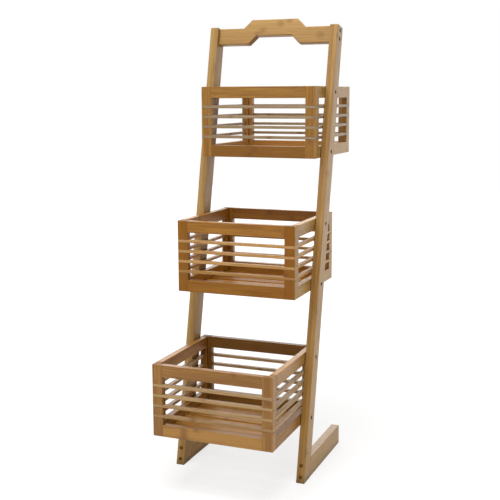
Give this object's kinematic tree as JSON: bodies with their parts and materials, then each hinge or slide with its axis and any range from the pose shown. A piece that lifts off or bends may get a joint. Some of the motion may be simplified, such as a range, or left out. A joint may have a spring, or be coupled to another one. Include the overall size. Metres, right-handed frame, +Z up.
{
  "type": "basket storage rack",
  "caption": "Bamboo rack of slatted open crates stepped back one above another between leaning uprights with a carrying handle across the top",
  "frame": {"origin": "on the floor under the middle of the rack, halfway across and halfway from the lower crate's front to the upper crate's back", "axes": "X to the right as seen from the front, Y to the back, Z up"},
  "size_m": [0.312, 0.5338, 1.0153],
  "materials": {
    "bamboo_frame": "satin clear varnish over laminated bamboo",
    "bamboo_panels": "satin clear varnish over laminated bamboo",
    "bamboo_slats": "satin clear varnish over split bamboo",
    "bamboo_floor": "thin satin varnish over laminated bamboo",
    "black_screws": "black oxide",
    "brad_steel": "bright drawn steel"
  },
  "bodies": {
    "root": {"assembly_screws": "black_screws", "floor_brads": "brad_steel", "foot_screws": "black_screws", "handle_bar": "bamboo_frame", "left_foot": "bamboo_frame", "left_upright": "bamboo_frame", "lower_back_bottom_rail": "bamboo_panels", "lower_back_slats": "bamboo_slats", "lower_back_stiles": "bamboo_panels", "lower_back_top_rail": "bamboo_panels", "lower_floor_boards": "bamboo_floor", "lower_front_bottom_rail": "bamboo_panels", "lower_front_slats": "bamboo_slats", "lower_front_stiles": "bamboo_panels", "lower_front_top_rail": "bamboo_panels", "lower_left_bottom_rail": "bamboo_panels", "lower_left_slats": "bamboo_slats", "lower_left_stiles": "bamboo_panels", "lower_left_top_rail": "bamboo_panels", "lower_right_bottom_rail": "bamboo_panels", "lower_right_slats": "bamboo_slats", "lower_right_stiles": "bamboo_panels", "lower_right_top_rail": "bamboo_panels", "middle_back_bottom_rail": "bamboo_panels", "middle_back_slats": "bamboo_slats", "middle_back_stiles": "bamboo_panels", "middle_back_top_rail": "bamboo_panels", "middle_floor_boards": "bamboo_floor", "middle_front_bottom_rail": "bamboo_panels", "middle_front_slats": "bamboo_slats", "middle_front_stiles": "bamboo_panels", "middle_front_top_rail": "bamboo_panels", "middle_left_bottom_rail": "bamboo_panels", "middle_left_slats": "bamboo_slats", "middle_left_stiles": "bamboo_panels", "middle_left_top_rail": "bamboo_panels", "middle_right_bottom_rail": "bamboo_panels", "middle_right_slats": "bamboo_slats", "middle_right_stiles": "bamboo_panels", "middle_right_top_rail": "bamboo_panels", "right_foot": "bamboo_frame", "right_upright": "bamboo_frame", "upper_back_bottom_rail": "bamboo_panels", "upper_back_slats": "bamboo_slats", "upper_back_stiles": "bamboo_panels", "upper_back_top_rail": "bamboo_panels", "upper_floor_boards": "bamboo_floor", "upper_front_bottom_rail": "bamboo_panels", "upper_front_slats": "bamboo_slats", "upper_front_stiles": "bamboo_panels", "upper_front_top_rail": "bamboo_panels", "upper_left_bottom_rail": "bamboo_panels", "upper_left_slats": "bamboo_slats", "upper_left_stiles": "bamboo_panels", "upper_left_top_rail": "bamboo_panels", "upper_right_bottom_rail": "bamboo_panels", "upper_right_slats": "bamboo_slats", "upper_right_stiles": "bamboo_panels", "upper_right_top_rail": "bamboo_panels"}
  },
  "joints": []
}
